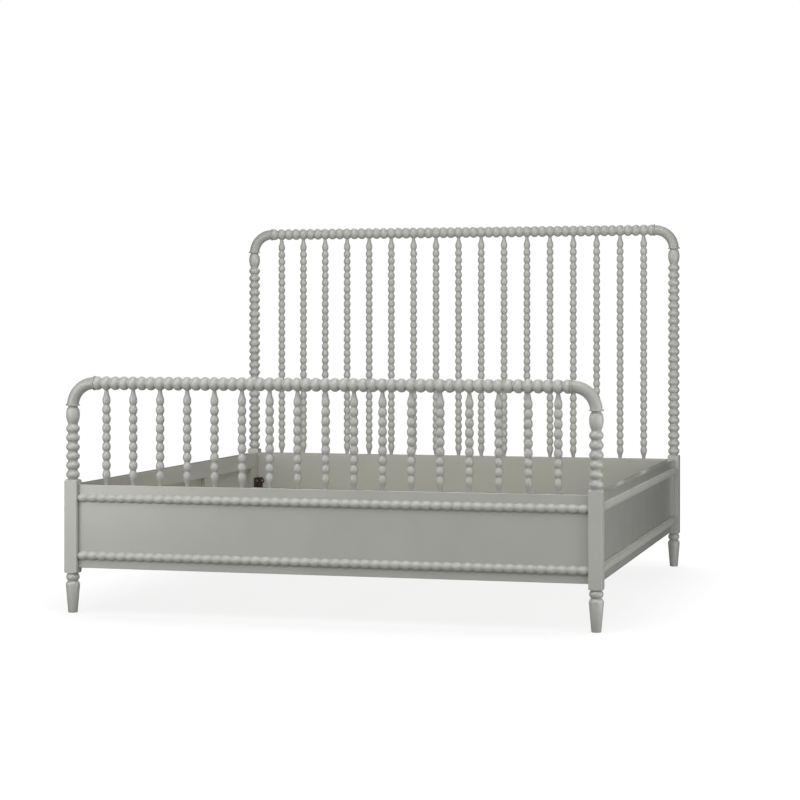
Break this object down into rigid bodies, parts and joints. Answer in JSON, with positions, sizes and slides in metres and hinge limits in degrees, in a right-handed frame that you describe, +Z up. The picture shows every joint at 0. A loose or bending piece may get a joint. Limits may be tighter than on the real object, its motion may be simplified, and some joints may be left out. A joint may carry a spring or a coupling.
{
  "type": "spindle bed frame",
  "caption": "King-size painted bed frame with bobbin-turned posts, bent elbows, beaded top rails and spindles at head and foot, panelled side rails and loose slats.",
  "frame": {"origin": "on the floor under the middle of the bed", "axes": "+X to the right seen from the foot, +Y from the footboard towards the headboard, +Z up"},
  "size_m": [2.0492, 2.153, 1.5445],
  "materials": {
    "painted_wood": "satin grey-green paint on turned and planed hardwood",
    "bare_pine": "planed, unfinished",
    "bronze_steel": "dark bronze powder coat",
    "screw_steel": "zinc plated",
    "webbing": "woven cotton tape"
  },
  "bodies": {
    "bed_frame": {"head_post_left": "painted_wood", "head_post_right": "painted_wood", "foot_post_left": "painted_wood", "foot_post_right": "painted_wood", "head_elbow_left": "painted_wood", "head_elbow_right": "painted_wood", "foot_elbow_left": "painted_wood", "foot_elbow_right": "painted_wood", "head_top_rail": "painted_wood", "foot_top_rail": "painted_wood", "head_spindle_01": "painted_wood", "head_spindle_02": "painted_wood", "head_spindle_03": "painted_wood", "head_spindle_04": "painted_wood", "head_spindle_05": "painted_wood", "head_spindle_06": "painted_wood", "head_spindle_07": "painted_wood", "head_spindle_08": "painted_wood", "head_spindle_09": "painted_wood", "head_spindle_10": "painted_wood", "head_spindle_11": "painted_wood", "head_spindle_12": "painted_wood", "head_spindle_13": "painted_wood", "head_spindle_14": "painted_wood", "head_spindle_15": "painted_wood", "head_spindle_16": "painted_wood", "head_spindle_17": "painted_wood", "foot_spindle_01": "painted_wood", "foot_spindle_02": "painted_wood", "foot_spindle_03": "painted_wood", "foot_spindle_04": "painted_wood", "foot_spindle_05": "painted_wood", "foot_spindle_06": "painted_wood", "foot_spindle_07": "painted_wood", "foot_spindle_08": "painted_wood", "foot_spindle_09": "painted_wood", "foot_spindle_10": "painted_wood", "foot_spindle_11": "painted_wood", "foot_spindle_12": "painted_wood", "foot_spindle_13": "painted_wood", "foot_spindle_14": "painted_wood", "foot_spindle_15": "painted_wood", "foot_spindle_16": "painted_wood", "foot_spindle_17": "painted_wood", "head_panel": "painted_wood", "foot_panel": "painted_wood", "foot_mouldings": "painted_wood", "side_frame_left": "painted_wood", "side_panel_left": "painted_wood", "side_mouldings_left": "painted_wood", "side_frame_right": "painted_wood", "side_panel_right": "painted_wood", "side_mouldings_right": "painted_wood", "slat_cleats": "bare_pine", "corner_brackets": "bronze_steel", "centre_beam": "bronze_steel", "beam_hangers": "bronze_steel", "bracket_screws": "screw_steel"},
    "slat_set": {"slats": "bare_pine", "slat_webbing": "webbing"}
  },
  "joints": [
    {"name": "slat_lift", "type": "slide", "parent": "bed_frame", "child": "slat_set", "axis": [0, 0, 1], "range_m": [0, 0.75]}
  ]
}
